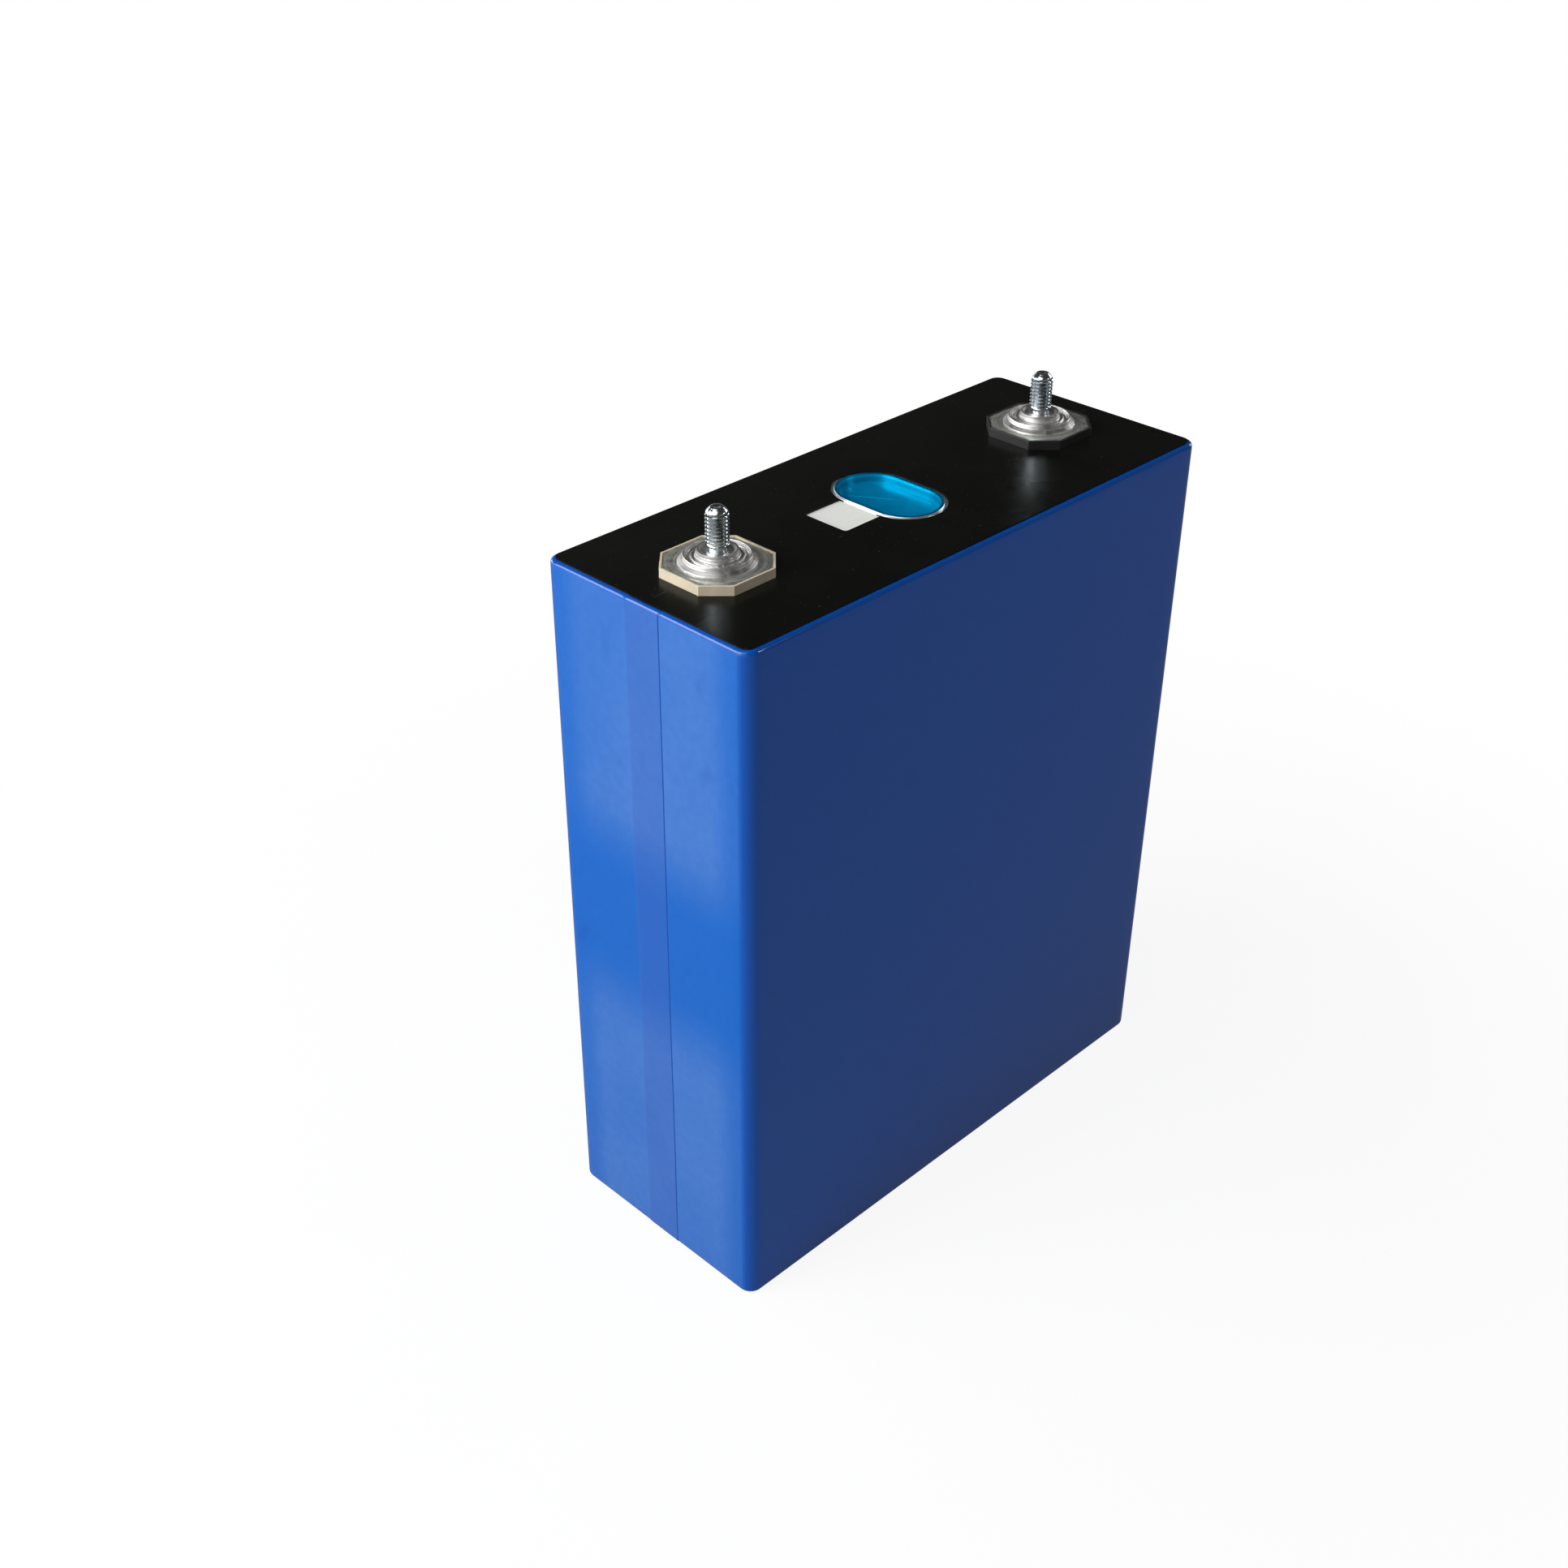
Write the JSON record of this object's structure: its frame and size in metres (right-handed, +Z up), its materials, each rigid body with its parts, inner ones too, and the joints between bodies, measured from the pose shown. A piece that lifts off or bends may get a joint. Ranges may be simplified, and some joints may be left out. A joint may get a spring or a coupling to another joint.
{
  "type": "prismatic lithium battery cell",
  "caption": "Prismatic rechargeable cell in blue wrapping film: flat-sided box with a black top sheet, a pressure vent and two octagonal terminals with welded threaded studs.",
  "frame": {"origin": "centre of the cell's base, on the surface it stands on", "axes": "+X along the width from the negative to the positive terminal, +Y along the thickness, +Z up along the studs"},
  "size_m": [0.1741, 0.0716, 0.2215],
  "materials": {
    "blue_film": "thin glossy blue wrapping film with faint creases",
    "black_sheet": "satin black insulating sheet",
    "case_aluminium": "drawn aluminium",
    "cover_aluminium": "stamped aluminium, brushed",
    "terminal_aluminium": "milled aluminium with fine turning marks",
    "base_aluminium": "turned aluminium with a laser weld bead",
    "zinc_steel": "bluish zinc-plated steel",
    "vent_foil": "thin scored aluminium",
    "vent_film": "clear blue protective film",
    "negative_insulator": "natural beige moulded plastic",
    "positive_insulator": "black moulded plastic",
    "rubber": "fluororubber",
    "copper": "bare copper",
    "inner_aluminium": "bare aluminium",
    "lower_plastic": "natural moulded plastic",
    "winding": "coated electrode foil",
    "separator": "white separator film",
    "bag_film": "clear insulating film",
    "tape": "green adhesive tape"
  },
  "bodies": {
    "root": {"wrap_film": "blue_film", "base_sheet": "blue_film", "top_sheet": "black_sheet", "case": "case_aluminium", "cover_plate": "cover_aluminium", "vent_membrane": "vent_foil", "vent_film": "vent_film", "filling_port_plug": "rubber", "filling_port_cap": "cover_aluminium", "winding_front": "winding", "winding_rear": "winding", "separator_front": "separator", "separator_rear": "separator", "closing_tapes": "tape", "insulating_bag": "bag_film", "bottom_tray": "lower_plastic", "negative_terminal_insulator": "negative_insulator", "negative_terminal_plate": "terminal_aluminium", "negative_stud_base": "base_aluminium", "negative_stud": "zinc_steel", "negative_pole": "copper", "negative_seal_ring": "rubber", "negative_lower_insulator": "lower_plastic", "negative_collector": "copper", "negative_tabs": "copper", "negative_weld_covers": "tape", "positive_terminal_insulator": "positive_insulator", "positive_terminal_plate": "terminal_aluminium", "positive_stud_base": "base_aluminium", "positive_stud": "zinc_steel", "positive_pole": "inner_aluminium", "positive_seal_ring": "rubber", "positive_lower_insulator": "lower_plastic", "positive_collector": "inner_aluminium", "positive_tabs": "inner_aluminium", "positive_weld_covers": "tape"}
  },
  "joints": []
}
